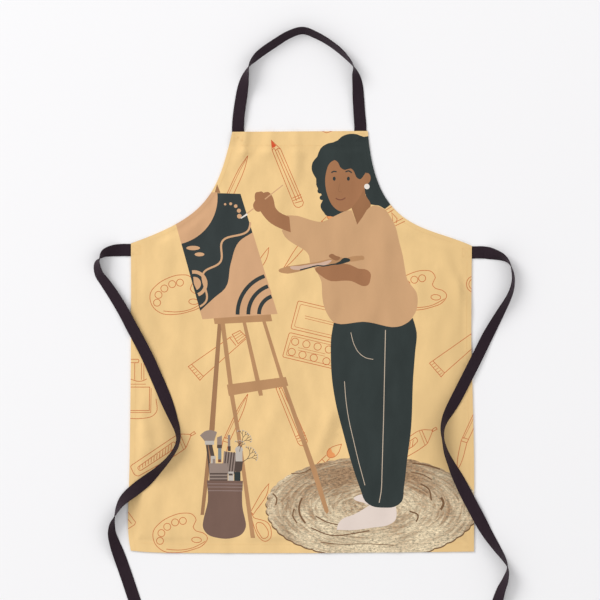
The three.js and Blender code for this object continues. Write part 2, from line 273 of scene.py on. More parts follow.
RIGHT_TIE_ROUTE = [
    (351, 78, 0.1, 0), (375, 78, 0.1, 0), (395.5, 74, 0.1, 33), (413, 67.5, 0.1, 60), (426, 56.5, 0.1, 86),
    (432.5, 40, 0.1, 100), (434.5, 21.5, 0.1, 106), (431, 1, 0.1, 113), (422.5, -19.5, 0.1, 121),
    (409, -44, 0.1, 134), (395.5, -68.5, 0.2, 146), (381, -95.5, 0.8, 158), (366, -126, 2.5, 161),
    (349.5, -159, 3.7, 161), (333, -191.5, 3.7, 161), (317, -222.5, 3.7, 158), (304.5, -245, 3.7, 145),
    (295, -263.5, 3.7, 126), (289.5, -284, 3.7, 110), (291, -306.5, 3.7, 101), (297, -331, 3.7, 113),
    (308.5, -357.5, 3.7, 129), (322, -384.5, 3.7, 154), (339.5, -419, 3.7, 174), (361, -460, 3.7, 180),
    (380, -495, 1.6, 152), (400, -526, 0.3, 129), (415, -548.5, 0.1, 110), (423, -568, 0.1, 90),
    (418.5, -591.5, 0.1, 66), (410, -612, 0.1, 50), (403, -634.5, 0.1, 36), (392, -671, 0.1, 14),
    (380.5, -708, 0.1, 0), (369, -746, 0.1, 0), (358, -784, 0.1, 0),
]
TIES = {}
for side, route, outward in (("left", LEFT_TIE_ROUTE, -1), ("right", RIGHT_TIE_ROUTE, 1)):
    seam_x, seam_y = route[0][:2]
    sewn_end = [(seam_x - outward * s, seam_y, 0.1, 0) for s in SEWN_UNDER]
    tie_line = strap_line(sewn_end + route)
    tie = woven_strap(f"{side}_tie_webbing", *tie_line, webbing)
    TIES[side] = (tie, tie_line)
    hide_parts(f"{side}_tie", f"{side}_tie_sewn_end")
    start = (seam_x * MM + outward * 0.002, seam_y * MM - 0.013, 0)
    end = (start[0] + outward * 0.03, start[1] - 0.018, 0)
    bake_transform(tie)


# ---- Printed canvas: the inks ----
# The apron is plain-woven cotton canvas whose face is printed once it is sewn. Each ink lies in the yarns,
# shows the weave and takes in the thread of the seams. The back stays the cream of the cloth.
YARN_PITCH = 0.62 * MM


def linear(code):
    """Linear light for a colour written as six hexadecimal digits."""
    parts = [int(code[i:i + 2], 16) / 255 for i in (0, 2, 4)]
    return tuple(c / 12.92 if c < 0.04045 else ((c + 0.055) / 1.055) ** 2.4 for c in parts)


def canvas_weave(n, strength=0.32):
    """Plain weave, over one and under one, as a bump; returns the flat coordinates and the relief."""
    flat = n.add("UVMap", uv_map="weave").outputs[0]
    parts = n.add("SeparateXYZ", [flat])
    warp = n.math("SINE", n.math("MULTIPLY", parts.outputs[0], math.pi / YARN_PITCH))
    weft = n.math("SINE", n.math("MULTIPLY", parts.outputs[1], math.pi / YARN_PITCH))
    relief = n.math("MULTIPLY_ADD", n.math("MULTIPLY", warp, weft), 0.5, 0.5)
    n.bump(relief, strength, 0.12 * MM)
    return flat, relief


def plain_ink(name, code, slubs_and_shade=0.0):
    """An ink on the canvas. A large area varies in slubs and carries painted shade: darker down in the
    weave, and darker towards the right of the panel.
    """
    n = Nodes(f"print_{name}")
    flat, relief = canvas_weave(n)
    colour = linear(code)
    n.set(Roughness=0.88, Specular_IOR_Level=0.2, Sheen_Weight=0.08, Sheen_Roughness=0.5)
    if not slubs_and_shade:
        return n.set(Base_Color=colour)
    parts = n.add("SeparateXYZ", [flat])
    upright = n.add("CombineXYZ", [parts.outputs[0], n.math("MULTIPLY", parts.outputs[1], 0.45)])
    slub = n.add("TexNoise", {"Vector": upright.outputs[0], "Scale": 25.0, "Detail": 5.0, "Roughness": 0.6})
    # Painted shade: the ink is darker towards the right of the panel, where less light falls.
    painted_shade_right = n.add("Clamp", [n.math("MULTIPLY_ADD", parts.outputs[0], 6.0, -1.0)]).outputs[0]
    # Painted shade in the weave: the ink is darker where the yarns dip.
    tone = n.math("MULTIPLY_ADD", slub.outputs[0], 2.6, n.math("MULTIPLY_ADD", relief, 0.3, -0.95))
    tone = n.math("SUBTRACT", tone, n.math("MULTIPLY", painted_shade_right, 0.7))
    low = tuple(c * (1 - slubs_and_shade) for c in colour)
    high = tuple(min(1, c * (1 + slubs_and_shade)) for c in colour)
    return n.set(Base_Color=n.mix(tone, low, high))


RUG_MIDDLE, RUG_REACH = (146, -444), (218, 104)


def rug_ink():
    """A pictured rug of braided straw: rings of fibre streaked with brown, most of all at the back."""
    n = Nodes("print_straw_rug")
    flat, _ = canvas_weave(n)
    parts = n.add("SeparateXYZ", [flat])
    u, v = (n.math("DIVIDE", n.math("SUBTRACT", parts.outputs[i], RUG_MIDDLE[i] * MM), RUG_REACH[i] * MM)
            for i in (0, 1))
    ring = n.math("SQRT", n.math("ADD", n.math("MULTIPLY", u, u), n.math("MULTIPLY", v, v)))
    turn = n.math("ARCTAN2", v, u)
    braids = n.math("MULTIPLY", ring, 11)
    fibre_lay = n.add("CombineXYZ", [n.math("COSINE", turn), n.math("SINE", turn), braids])
    streaks = n.add("TexNoise", {"Vector": fibre_lay.outputs[0], "Scale": 2.3, "Detail": 8.0,
                                 "Roughness": 0.7, "Distortion": 0.7}).outputs[0]
    level_lay = n.add("CombineXYZ", [n.math("MULTIPLY", parts.outputs[0], 0.5), parts.outputs[1]])
    fibre = n.add("TexNoise", {"Vector": level_lay.outputs[0], "Scale": 290.0, "Detail": 3.0,
                               "Roughness": 0.75}).outputs[0]
    patch = n.add("TexNoise", {"Vector": flat, "Scale": 11.0, "Detail": 3.0}).outputs[0]
    bend = n.math("SUBTRACT", 1.0, n.math("ABSOLUTE", n.math("MULTIPLY_ADD", ring, 3.2, -2.1)))
    behind = n.math("MULTIPLY_ADD", v, 0.40, 0.22)
    brown = n.math("MULTIPLY_ADD", n.add("Clamp", [bend]).outputs[0], behind, -0.06)
    brown = n.math("ADD", brown, n.math("MULTIPLY_ADD", patch, 2.0, -0.87))
    brown = n.math("ADD", brown, n.math("MULTIPLY", v, 0.38))
    brown = n.math("ADD", brown, n.math("MULTIPLY_ADD", streaks, 3.6, -1.5))
    shade = n.add("Clamp", [n.math("ADD", brown, n.math("MULTIPLY_ADD", fibre, 2.0, -1.0))]).outputs[0]
    straw = n.mix(n.math("MULTIPLY", shade, 0.8), linear("DCCAAA"), linear("87603F"))
    grain = n.math("MULTIPLY_ADD", fibre, 3.5, -0.76)
    lit = n.add("VectorMath", {0: straw, "Scale": grain}, operation="SCALE").outputs[0]
    return n.set(Base_Color=lit, Roughness=0.88, Specular_IOR_Level=0.2)


# Each ink's colour, and how strongly its large areas vary in slubs and in painted shade.
INK_RECIPES = {
    "sand": ("EBC78D", 0.06), "line": ("C66C3E",), "lead": ("DB5A35",), "orange": ("E89A5F",),
    "teal": ("303837", 0.1), "night": ("333A3A", 0.1), "tan": ("CBA076", 0.03), "clay": ("D1A47C", 0.04),
    "skin": ("A2714E", 0.03), "shadow": ("996B49", 0.03), "wood": ("B78A61", 0.04),
    "far_wood": ("A27855", 0.04), "pot": ("775D52", 0.05), "pot_line": ("96817A",), "bristle": ("958379",),
    "pale": ("BDB5AC",), "dark": ("54463F",), "slate": ("7F878A",), "ivory": ("E7E0D8",),
    "blush": ("E2D2C8", 0.02), "pink": ("CFAE99",), "piping": ("CDB9A4",), "lip": ("7E4E3B",),
    "bark": ("7A5B3F", 0.1),
}
INKS = {name: plain_ink(name, *recipe) for name, recipe in INK_RECIPES.items()}
INKS["straw"] = rug_ink()
INK_NUMBERS = {name: i for i, name in enumerate(INKS)}


# ---- Printed canvas: scattered drawing tools ----
# Thin orange outlines of an artist's things, in a pattern that repeats across and down the cloth. The whole
# picture is in millimetres on the flat cloth, the lowest shape first, so larger figures hide much of it.
PRINT = []
LINE_WIDTH = 1.4


def smooth(points, closed=True):
    """A smooth outline through the points. A point with a third value is a corner."""
    p = np.array([q[:2] for q in points], float)
    count = len(p)
    corner = [len(q) > 2 or (not closed and i in (0, count - 1)) for i, q in enumerate(points)]
    ahead = np.roll(p, -1, 0) - p
    chord = np.linalg.norm(ahead, axis=1)
    heading = ahead / chord[:, None]
    before = np.roll(heading, 1, 0)
    tangent = before * chord[:, None] + heading * np.roll(chord, 1)[:, None]
    tangent /= np.linalg.norm(tangent, axis=1)[:, None] + 1e-9
    out = []
    for i in range(count if closed else count - 1):
        j = (i + 1) % count
        a = (heading[i] if corner[i] else tangent[i]) * chord[i]
        b = (heading[i] if corner[j] else tangent[j]) * chord[i]
        bend = np.linalg.norm(a - b) / chord[i]
        steps = 1 if bend < 0.02 else int(np.clip(bend * 5 + chord[i] / 12, 2, 9))
        t = np.arange(steps)[:, None] / steps
        out.append(p[i] * (2 * t**3 - 3 * t**2 + 1) + a * (t**3 - 2 * t**2 + t)
                   + p[j] * (3 * t**2 - 2 * t**3) + b * (t**3 - t**2))
    return np.vstack(out if closed else out + [p[-1:]])


def oval(x, y, wide, high=None, turn=0, sides=20):
    """An oval's outline by its half width and half height, turned by degrees."""
    t = np.arange(sides) * 2 * math.pi / sides
    a, b = wide * np.cos(t), (high or wide) * np.sin(t)
    c, s = math.cos(math.radians(turn)), math.sin(math.radians(turn))
    return np.c_[x + a * c - b * s, y + a * s + b * c]


def rounded(points, radius, closed=True):
    """Straight sides with every corner rounded off."""
    p = np.array(points, float)
    out = []
    for i in range(len(p)):
        if not closed and i in (0, len(p) - 1):
            out.append(p[i])
            continue
        back, ahead = p[i - 1] - p[i], p[(i + 1) % len(p)] - p[i]
        a = p[i] + back * min(0.45, radius / np.linalg.norm(back))
        b = p[i] + ahead * min(0.45, radius / np.linalg.norm(ahead))
        out += [a * (1 - t) ** 2 + p[i] * 2 * t * (1 - t) + b * t * t for t in (0, 0.33, 0.67, 1)]
    return np.array(out)


def fill(ink, *outlines):
    """Lays down an ink within closed outlines. An outline within another leaves a hole."""
    PRINT.append((ink, [np.array([q[:2] for q in o], float) for o in outlines]))


def shape(ink, points):
    """A filled shape with a smooth edge."""
    fill(ink, smooth(points))


def beside(p, offset, closed):
    """The line at a distance to the left of a line, with mitred corners."""
    ahead = np.roll(p, -1, 0) - p
    heading = ahead / (np.linalg.norm(ahead, axis=1)[:, None] + 1e-9)
    before = np.roll(heading, 1, 0)
    if not closed:
        heading[-1] = before[-1]
        before[0] = heading[0]
    middle = heading + before
    middle /= np.linalg.norm(middle, axis=1)[:, None] + 1e-9
    stretch = 1 / np.maximum(0.45, (middle * heading).sum(1))
    return p + np.c_[-middle[:, 1], middle[:, 0]] * (offset * stretch)[:, None]


def line(points, width=LINE_WIDTH, ink="line", closed=False):
    """A drawn line through the points, joined up where it is closed."""
    p = np.array([q[:2] for q in points], float)
    left, right = (beside(p, side * width / 2, closed) for side in (1, -1))
    if closed:
        fill(ink, left, right)
    else:
        fill(ink, np.vstack([left, right[::-1]]))


def curve(points, width=LINE_WIDTH, ink="line", closed=False):
    """A drawn line that runs smoothly through the points."""
    line(smooth(points, closed), width, ink, closed)


# The distance at which the pattern repeats, both ways.
REPEAT = 488


def pencil():
    line([(-61, 308), (-59, 287), (-14, 175), (-10, 171),
          (-4, 170), (3, 174), (5, 180), (-42, 290)], closed=True)
    fill("lead", [(-61, 308), (-51, 297), (-55, 293), (-60, 292)])
    curve([(-59, 287), (-55, 291), (-52, 287), (-48, 291), (-42, 290)])
    line([(-53, 288), (-9, 184)])
    line([(-48, 289), (-3, 187)])
    for s in (0, 5):
        line([(-16 - s * 0.4, 184 + s), (2 - s * 0.4, 192 + s)])
    line([(-13, 179), (4, 184)])


def long_brush():
    curve([(-109, 276), (-123, 256), (-149, 204), (-160, 180, 1), (-168, 134), (-168, 120)])
    curve([(-109, 276), (-113, 258), (-135, 204), (-148, 176, 1), (-162, 130), (-168, 120)])
    curve([(-113, 268), (-124, 248), (-146, 202), (-155, 184)], width=1.0)
    line([(-160, 180), (-148, 176)])
    line([(-157, 187), (-145, 183)])


def palette():
    rim = [
        (-302, -492), (-290, -477), (-265, -462), (-240, -456), (-222, -459), (-215, -471), (-221, -484),
        (-214, -493), (-202, -496), (-192, -506), (-200, -521), (-222, -531), (-252, -537), (-282, -534),
        (-299, -519)]
    curve(rim, closed=True)
    curve([(-196, -514), (-221, -527), (-252, -532), (-276, -530)])
    for x, y in ((-242, -472), (-258, -475), (-274, -484), (-286, -497), (-289, -513)):
        line(oval(x, y, 7.2), closed=True)
    line(oval(-214, -511, 10, 5.6, -4), closed=True)


def paint_tin():
    right, slope = 75, 0.235
    for width, (x, y), (a, b) in (
            (LINE_WIDTH, (-6, -21), (-21, -78)), (LINE_WIDTH, (-24, -86), (-38, -136)),
            (1.0, (-1, -28), (-14, -74)), (1.0, (-18, -93), (-31, -132))):
        side = [(right, y - (right - x) * slope), (x, y), (a, b), (right, b - (right - a) * slope)]
        line(rounded(side, 4, closed=False), width=width)
    for s in (0, 5):
        line([(8, -52 - s), (75, -68 - s)], width=1.0)
        line([(-6, -117 - s), (50, -130 - s)], width=0.8)
    for x, y in ((-12, -105), (11, -110), (34, -115), (57, -121),
                 (-19, -126), (3, -132), (26, -138), (52, -145)):
        line(oval(x, y, 7.4), closed=True)


def paint_tube():
    line([(-231, -156), (-207, -184), (-200, -176), (-114, -100), (-144, -95), (-224, -151)], closed=True)
    line([(-224, -151), (-200, -176)])
    for s in (0.15, 0.32, 0.5, 0.68, 0.85):
        x, y = -231 + 24 * s, -156 - 28 * s
        line([(x, y), (x + 6.5, y + 4.5)], width=1.0)
    fill("sand", [(-145, -91), (-127, -110), (-111, -96), (-124, -82)])
    line([(-141, -90), (-125, -82), (-112, -95), (-129, -109)], closed=True)
    for s in (0.25, 0.5, 0.75):
        line([(-141 + 12 * s, -90 - 19 * s), (-125 + 13 * s, -82 - 13 * s)], width=1.0)
    line([(-146, -97), (-133, -113)])


def ink_bottle():
    line([(-360, -141), (-334, -141), (-332, -144), (-334, -148), (-360, -148)])
    for x in (-341, -327, -322):
        line([(x, -149), (x, -183)], width=1.2)
    curve([(-360, -180), (-348, -182), (-336, -186), (-324, -185), (-316, -181)])
    line([(-360, -192), (-318, -192)], width=1.2)
    line([(-360, -198), (-310, -198), (-311, -246), (-360, -246)])
    line([(-307, -200), (-308, -250), (-360, -250)], width=1.2)
    curve([(-297, -222, 1), (-297, -250), (-304, -257), (-324, -262), (-360, -262)])


def marker():
    body = rounded([
        (-350, -360), (-256, -297), (-244, -294), (-226, -295), (-226, -299), (-236, -323), (-256, -337),
        (-334, -381), (-342, -377)], 4)
    line(body, closed=True)
    line([(-226, -294), (-219, -289), (-216, -293), (-225, -298)], closed=True)
    line([(-248, -294), (-236, -322)])
    line([(-253, -296), (-241, -326)], width=1.0)
    line(rounded([(-336, -363), (-260, -309), (-255, -317), (-264, -327), (-330, -370)], 4), closed=True)
    for s in np.arange(0.05, 1, 0.08):
        line([(-334 + 74 * s, -362 + 51 * s), (-334 + 72 * s, -368 + 41 * s)], width=1.3)


def round_brush():
    head = smooth([(83, -315, 1), (71, -318), (60, -323), (53, -333), (56, -341), (65, -342), (75, -335)])
    shape("orange", [(60, -323), (53, -333), (56, -341), (65, -342), (70, -337), (64, -331)])
    line(head, closed=True)
    curve([(52, -337, 1), (20, -368), (-10, -401), (-33, -438), (-38, -446, 1)])
    curve([(59, -344, 1), (28, -375), (2, -406), (-22, -432), (-38, -446, 1)])
    line([(42, -345), (50, -353)])


def scissors():
    curve([(-66, -396, 1), (-73, -404), (-103, -453, 1), (-98, -459, 1), (-68, -411)], closed=True)
    curve([
        (-102, -456), (-97, -465), (-85, -469), (-69, -475), (-61, -493), (-64, -509), (-73, -514),
        (-85, -507), (-94, -490), (-99, -474)], closed=True)
    curve([
        (-91, -477), (-81, -476), (-73, -483), (-67, -495), (-69, -505), (-77, -508), (-85, -499),
        (-91, -487)], closed=True)


for motif, places in (
        (pencil, [(0, 0), (8, -REPEAT)]),
        (long_brush, [(0, 0), (0, -REPEAT), (REPEAT, -REPEAT)]),
        (palette, [(0, 0), (-6, REPEAT), (REPEAT + 2, REPEAT + 9)]),
        (paint_tin, [(0, 0)]),
        (paint_tube, [(0, 0), (REPEAT + 6, 7)]),
        (ink_bottle, [(0, 0)]),
        (marker, [(0, 0), (REPEAT + 7, 9)]),
        (round_brush, [(0, 0), (0, REPEAT)]),
        (scissors, [(0, 0), (0, REPEAT - 4)])):
    for place in places:
        drawn = len(PRINT)
        motif()
        PRINT[drawn:] = [(ink, [o + place for o in outlines]) for ink, outlines in PRINT[drawn:]]

# A ring and a few strokes are all that shows of the things that larger figures or the edges hide.
for reach in (14, 9):
    line(oval(353, 13, reach, reach * 1.15), closed=True)
for stroke in ([(171, 163), (186, 172)], [(175, 157), (190, 166)], [(190, 131), (213, 142)],
               [(187, 137), (209, 148)], [(180, 150), (188, 143), (186, 159), (197, 147), (195, 138)],
               [(-360, -446), (-339, -475), (-341, -480), (-360, -492)], [(-360, -462), (-347, -478)],
               [(38, 329), (52, 323), (68, 328)]):
    line(stroke)


# ---- Printed canvas: the straw rug ----
# An oval rug of braided straw, seen at a slant, so that it is wider than it is deep. Its edge is scalloped
# by the braid and turns dark along the lower side.
scallops = np.arange(240) * 2 * math.pi / 240
wobble = 0.988 + 0.020 * abs(np.sin(scallops * 23 + np.sin(scallops * 3))) ** 0.7
wobble += 0.008 * np.sin(scallops * 5 + 1)
rug_edge = np.c_[RUG_MIDDLE[0] + RUG_REACH[0] * np.cos(scallops) * wobble,
                 RUG_MIDDLE[1] + RUG_REACH[1] * np.sin(scallops) * wobble]
fill("bark", rug_edge * (1.006, 1) + (-0.9, -2.6))
fill("straw", rug_edge)
for width, *stroke in (
        (3.6, (2, -425), (-4, -442), (-2, -460), (9, -477)), (2.6, (-14, -447), (-17, -461), (-8, -477)),
        (3, (-58, -416), (-50, -425), (-52, -440)), (2, (-20, -375), (8, -372), (24, -362)),
        (3, (245, -396), (261, -406), (267, -430)), (5, (287, -424), (292, -436), (286, -449)),
        (2.4, (30, -462), (52, -474), (76, -480)), (2.4, (20, -486), (58, -501), (112, -497), (140, -492)),
        (3, (222, -452), (240, -462), (236, -474)), (3, (228, -354), (260, -358), (285, -366)),
        (1.6, (40, -516), (80, -520), (130, -519), (190, -522)),
        (2.4, (310, -384), (328, -398), (334, -418)), (2, (225, -372), (252, -378), (268, -388))):
    curve(stroke, width=width, ink="bark")


# ---- Printed canvas: the easel and its picture ----
# A light wooden easel with three legs and two ledges holds a painted canvas: a sun, clouds, a ploughed
# hill, a winding river, ripples and drops, all plain shapes in clay on dark teal.
def arc(x, y, reach, first, last, count):
    """Points on a circle about a middle, from one angle to another in degrees."""
    turn = np.radians(np.linspace(first, last, count))
    return np.c_[x + reach * np.cos(turn), y + reach * np.sin(turn)]


fill("far_wood", [(-170, -60), (-162, -60), (-177, -284), (-199, -460), (-206, -460), (-188, -284)])
fill("wood", [(-121, -60), (-114, -60), (-80, -203), (-78, -215), (-86, -216), (-89, -205)])
fill("wood", [
    (-81, -58), (-74, -58), (-36, -179), (32, -368), (57, -452), (53, -458), (48, -452), (21, -368),
    (-44, -179)])
fill("wood", [
    (-166, -60), (-157, -60), (-137, -216), (-124, -295), (-113, -374), (-94, -507), (-103, -507),
    (-121, -374), (-132, -295), (-146, -216)])
fill("wood", [(-152, -193), (-31, -177), (-26, -195), (-148, -216)])
fill("far_wood", [(-172, 218), (-165, 200), (-177, 200)])
fill("night", [(-275, 203), (-124, 198), (-48, -48), (-202, -59)])
fill("clay", [(-275, 203), *arc(-268, 190, 97, 6.5, -76.5, 16)])
shape("clay", [
    (-99, 119, 1), (-127, 100), (-144, 55), (-155, 5), (-178, -15), (-207, -42, 1), (-202, -59, 1),
    (-48, -48, 1)])
for reach in (38, 60, 82):
    line(arc(-48, -48, reach, 109, 181, 13), width=8, ink="night")
down = np.linspace(0, 1, 48)[:, None]
sway = 22 * np.sin(down * math.pi) - 11 * np.sin(down * 5 * math.pi)
source, course, bank = np.array([(-104, 140), (-103, -173), (-0.86, 0.51)])
line(source + course * down + bank * sway, width=4, ink="clay")
for cloud in ((-221, 87, 14, 4.5), (-208, 74, 10, 4)):
    fill("clay", oval(*cloud))
for reach, width in ((24, 7), (7, 14)):
    line(arc(-219, 14, reach, 100, -70, 18), width=width, ink="clay")
for size, drop in enumerate(arc(-148, 156, 22, 110, -10, 5)):
    fill("clay", oval(*drop, 2.4 + 0.6 * size))
fill("wood", [(-179, -57), (-62, -49), (-59, -63), (-177, -69)])


# ---- Printed canvas: the jar of brushes ----
# Brushes, a comb of sticks and three dry sprigs stand in a dark pot with a banded rim. All are flat shapes,
# and the pot is drawn last because it hides their lower ends.
def bar(ink, left, right, top, bottom, lean=0):
    """An upright block of ink that leans to the right towards its top."""
    fill(ink, [(left, bottom), (right, bottom), (right + lean, top), (left + lean, top)])


def sprig(x, y, heading, length):
    """A dry twig that forks again and again, with a pale seed on each tip."""
    lean = math.radians(heading)
    tip = (x + length * math.cos(lean), y + length * math.sin(lean))
    line([(x, y), tip], width=0.7 + length * 0.05, ink="dark")
    if length < 3.6:
        fill("pale", oval(*tip, 1.0, sides=8))
        return
    sprig(*tip, heading + 27, length * 0.74)
    sprig(*tip, heading - 25, length * 0.66)


shape("bristle", [
    (-207, -297, 1), (-198, -289), (-185, -286), (-172, -290, 1), (-178, -309, 1), (-197, -309, 1)])
bar("pale", -197, -178, -308, -316)
bar("dark", -186, -182, -316, -392, -9)
bar("dark", -184, -176, -316, -344, -6)
bar("bristle", -172, -162, -301, -316)
fill("bristle", [(-172, -301), (-162, -301), (-162, -297)])
bar("dark", -172, -162, -316, -323)
bar("slate", -170, -163, -323, -352)
bar("lip", -170, -164, -346, -352)
bar("pale", -185, -175, -339, -355)
bar("bristle", -181, -176, -345, -355)
bar("bristle", -150, -145, -296, -320)
bar("dark", -150, -144, -319, -329)
fill("bristle", [(-158, -329), (-127, -334), (-138, -378), (-161, -374)])
for x in (-158, -152.5, -147, -141.5, -136):
    bar("dark", x - 1.6, x + 1.2, -331, -375, 5)
bar("pale", -134, -120, -324, -350)
fill("pale", oval(-127, -326, 8, 7))
fill("dark", [(-135, -350), (-119, -350), (-121, -368), (-125, -372), (-134, -372)])
bar("teal", -137, -124, -372, -391)
bar("pale", -149, -138, -371, -391)
bar("dark", -148, -140, -375, -379)
bar("bristle", -188, -150, -354, -391)
for y in (-374, -380.5, -387):
    bar("dark", -187, -151, y, y - 3)
sprig(-130, -320, 48, 13)
sprig(-120, -352, 36, 13)
sprig(-126, -330, 78, 9)
shape("pot", [
    (-191, -405, 1), (-191, -433), (-196, -454), (-200, -470), (-201, -485), (-192, -499), (-170, -507),
    (-140, -507), (-121, -499), (-113, -484), (-115, -467), (-119, -450), (-121, -405, 1)])
fill("pot", [(-193, -389), (-119, -390), (-120, -410), (-191, -410)])
for y in (-396, -402.5, -410):
    line([(-191.5, y), (-120, y - 0.5)], width=1.4, ink="pot_line")


# ---- Printed canvas: the painter ----
# A painter in a loose tan smock and dark trousers, drawn in flat shapes, with brush and palette in hand. The
# head is plain and calm: eyes at half its height, nose and mouth at the usual parts of what is left below.
shape("teal", [
    (160, 322, 1), (140, 317), (128, 315), (115, 320), (100, 321), (83, 315), (72, 304, 1), (57, 302),
    (40, 291), (33, 274, 1), (24, 263), (22, 247), (31, 229, 1), (32, 214), (40, 200, 1), (46, 188, 1),
    (40, 172), (49, 158), (66, 151), (92, 162, 1), (133, 195), (133, 186), (144, 176), (159, 174),
    (172, 167, 1), (186, 178, 1), (240, 260, 1)])
for curl in ((38, 248, 15, 18), (36, 218, 5), (39, 204, 5.5), (43, 190, 5), (48, 174, 8), (57, 162, 10),
             (139, 184, 6)):
    fill("teal", oval(*curl))
shape("shadow", [
    (98, 184, 1), (105, 164), (115, 135, 1), (127, 152), (143, 176), (132, 196), (130, 214, 1)])
shape("skin", [
    (51, 240), (50, 214), (56, 190), (67, 171), (81, 162), (97, 165), (113, 181), (126, 203), (134, 236),
    (120, 262), (85, 270), (60, 262)])
fill("skin", oval(134, 229, 8.5, 12, -12))
shape("teal", [
    (44, 236, 1), (52, 250), (60, 262), (68, 267), (76, 262), (80, 253), (90, 247), (102, 250), (109, 243),
    (113, 233), (121, 228), (128, 235), (136, 250), (130, 300), (60, 300), (38, 270)])
fill("ivory", oval(135, 213, 5.6))
for x in (68, 97):
    fill("teal", oval(x, 229, 3, 4.2, sides=14))
curve([(62, 241), (67, 244), (73, 243)], width=2.6, ink="teal")
curve([(91, 243), (98, 245), (104, 241)], width=2.6, ink="teal")
curve([(80, 219), (77, 208), (78, 203), (83, 202)], width=1.4, ink="shadow")
curve([(71, 189), (77, 186), (84, 186), (91, 190)], width=2.2, ink="lip")

shape("tan", [
    (-29, 154, 1), (-7, 153), (18, 145), (45, 141), (62, 149), (80, 158), (96, 164), (104, 164, 1),
    (115, 135, 1), (127, 152), (140, 170), (150, 174), (160, 172), (172, 166), (183, 151), (193, 132),
    (201, 100), (209, 69), (213, 44), (218, 22), (227, 9, 1), (236, -3), (239, -22), (234, -46),
    (223, -63, 1), (207, -72), (186, -75), (165, -71), (149, -67), (127, -64), (102, -67), (82, -69),
    (67, -65), (56, -52), (47, -32), (43, -7), (42, 17), (31, 40), (18, 58, 1), (16, 72), (8, 82), (-7, 91),
    (-23, 101), (-33, 110), (-39, 122, 1)])
shape("skin", [
    (-98, 177), (-94, 184, 1), (-95, 193), (-92, 201), (-86, 202, 1), (-81, 203), (-77, 200, 1), (-68, 202),
    (-60, 195), (-55, 182), (-53, 171), (-45, 161), (-24, 151, 1), (-21, 119, 1), (-42, 127), (-61, 137),
    (-76, 152), (-83, 162, 1), (-88, 161), (-96, 167)])
line([(-74, 187), (-37, 216)], width=2.2, ink="clay")
line([(-97, 168), (-113, 156)], width=2.4, ink="clay")
fill("ivory", [(-111, 158), (-109, 155), (-123, 147), (-124, 149)])
shape("wood", [(84, 61, 1), (98, 68), (116, 71), (129, 69), (130, 65), (121, 62), (103, 59)])
shape("skin", [
    (30, 46), (44, 49), (62, 52), (86, 55), (100, 53), (117, 45), (136, 42), (142, 36), (142, 22),
    (137, 11), (128, 9), (115, 14), (104, 19), (84, 20), (62, 19), (44, 28)])
shape("wood", [
    (-46, 41), (-36, 47), (-10, 52), (30, 58), (62, 65), (86, 66), (90, 60), (60, 54), (20, 46), (-12, 37),
    (-34, 35)])
shape("pink", [(-22, 46), (0, 50.5), (36, 56), (62, 60), (56, 55), (20, 47.5), (-8, 42)])
curve([(-2, 42), (18, 47), (34, 51), (46, 50), (62, 53), (84, 56)], width=2.6, ink="teal")
shape("teal", [(70, 55), (80, 60), (86, 66), (92, 67), (101, 62), (92, 57)])
shape("shadow", [(57, 71), (62, 75), (72, 71), (80, 67), (76, 62), (63, 65)])

shape("blush", [(108, -426), (114, -421), (124, -418), (136, -424), (140, -438), (126, -434), (114, -431)])
shape("blush", [
    (73, -490, 1), (76, -478), (82, -470), (108, -459), (131, -446), (142, -438, 1), (193, -438, 1),
    (196, -456), (192, -472), (184, -478), (144, -486), (102, -491)])
shape("teal", [
    (67, -66, 1), (62, -94), (61, -136), (63, -177), (70, -225), (87, -294), (108, -368), (123, -411),
    (131, -431), (144, -441), (170, -445), (192, -443), (205, -434), (211, -403), (217, -350), (225, -287),
    (230, -177), (234, -126), (237, -86), (229, -56, 1), (221, -64, 1), (207, -72), (186, -75), (165, -71),
    (149, -67), (127, -64), (102, -67), (82, -69)])
for stroke, width in (([(102, -86), (108, -109), (119, -128), (133, -138), (148, -141)], 1.2),
                      ([(173, -81), (171, -170), (169, -265), (166, -370), (164, -413), (160, -435)], 1.5),
                      ([(89, -186), (92, -225), (98, -265), (108, -309), (119, -355), (131, -399)], 1.3)):
    curve(stroke, width=width, ink="piping")


# ---- Front panel ----
# One piece of the printed canvas, turned under all round. It lies loosely: the hems hold its edge up, the
# middle keeps soft creases from having been folded, and it is pressed down under the ties.
CLOTH_THICKNESS = 0.6
EDGE_HEIGHT, MIDDLE_HEIGHT, HEIGHT_UNDER_TIES = 2.75, 4.4, 3.3
GRID = 7.0
GRID_ROW = GRID * 0.866
# The rings of each tie that may lie over the cloth.
OVER_CLOTH = slice(10, 230)
# A point on the edge, scaled by this, lies on the cloth.
JUST_INSIDE = 0.999
HEMS = ("bib_top", "left_armhole", "right_armhole", "left_side", "right_side", "bottom")
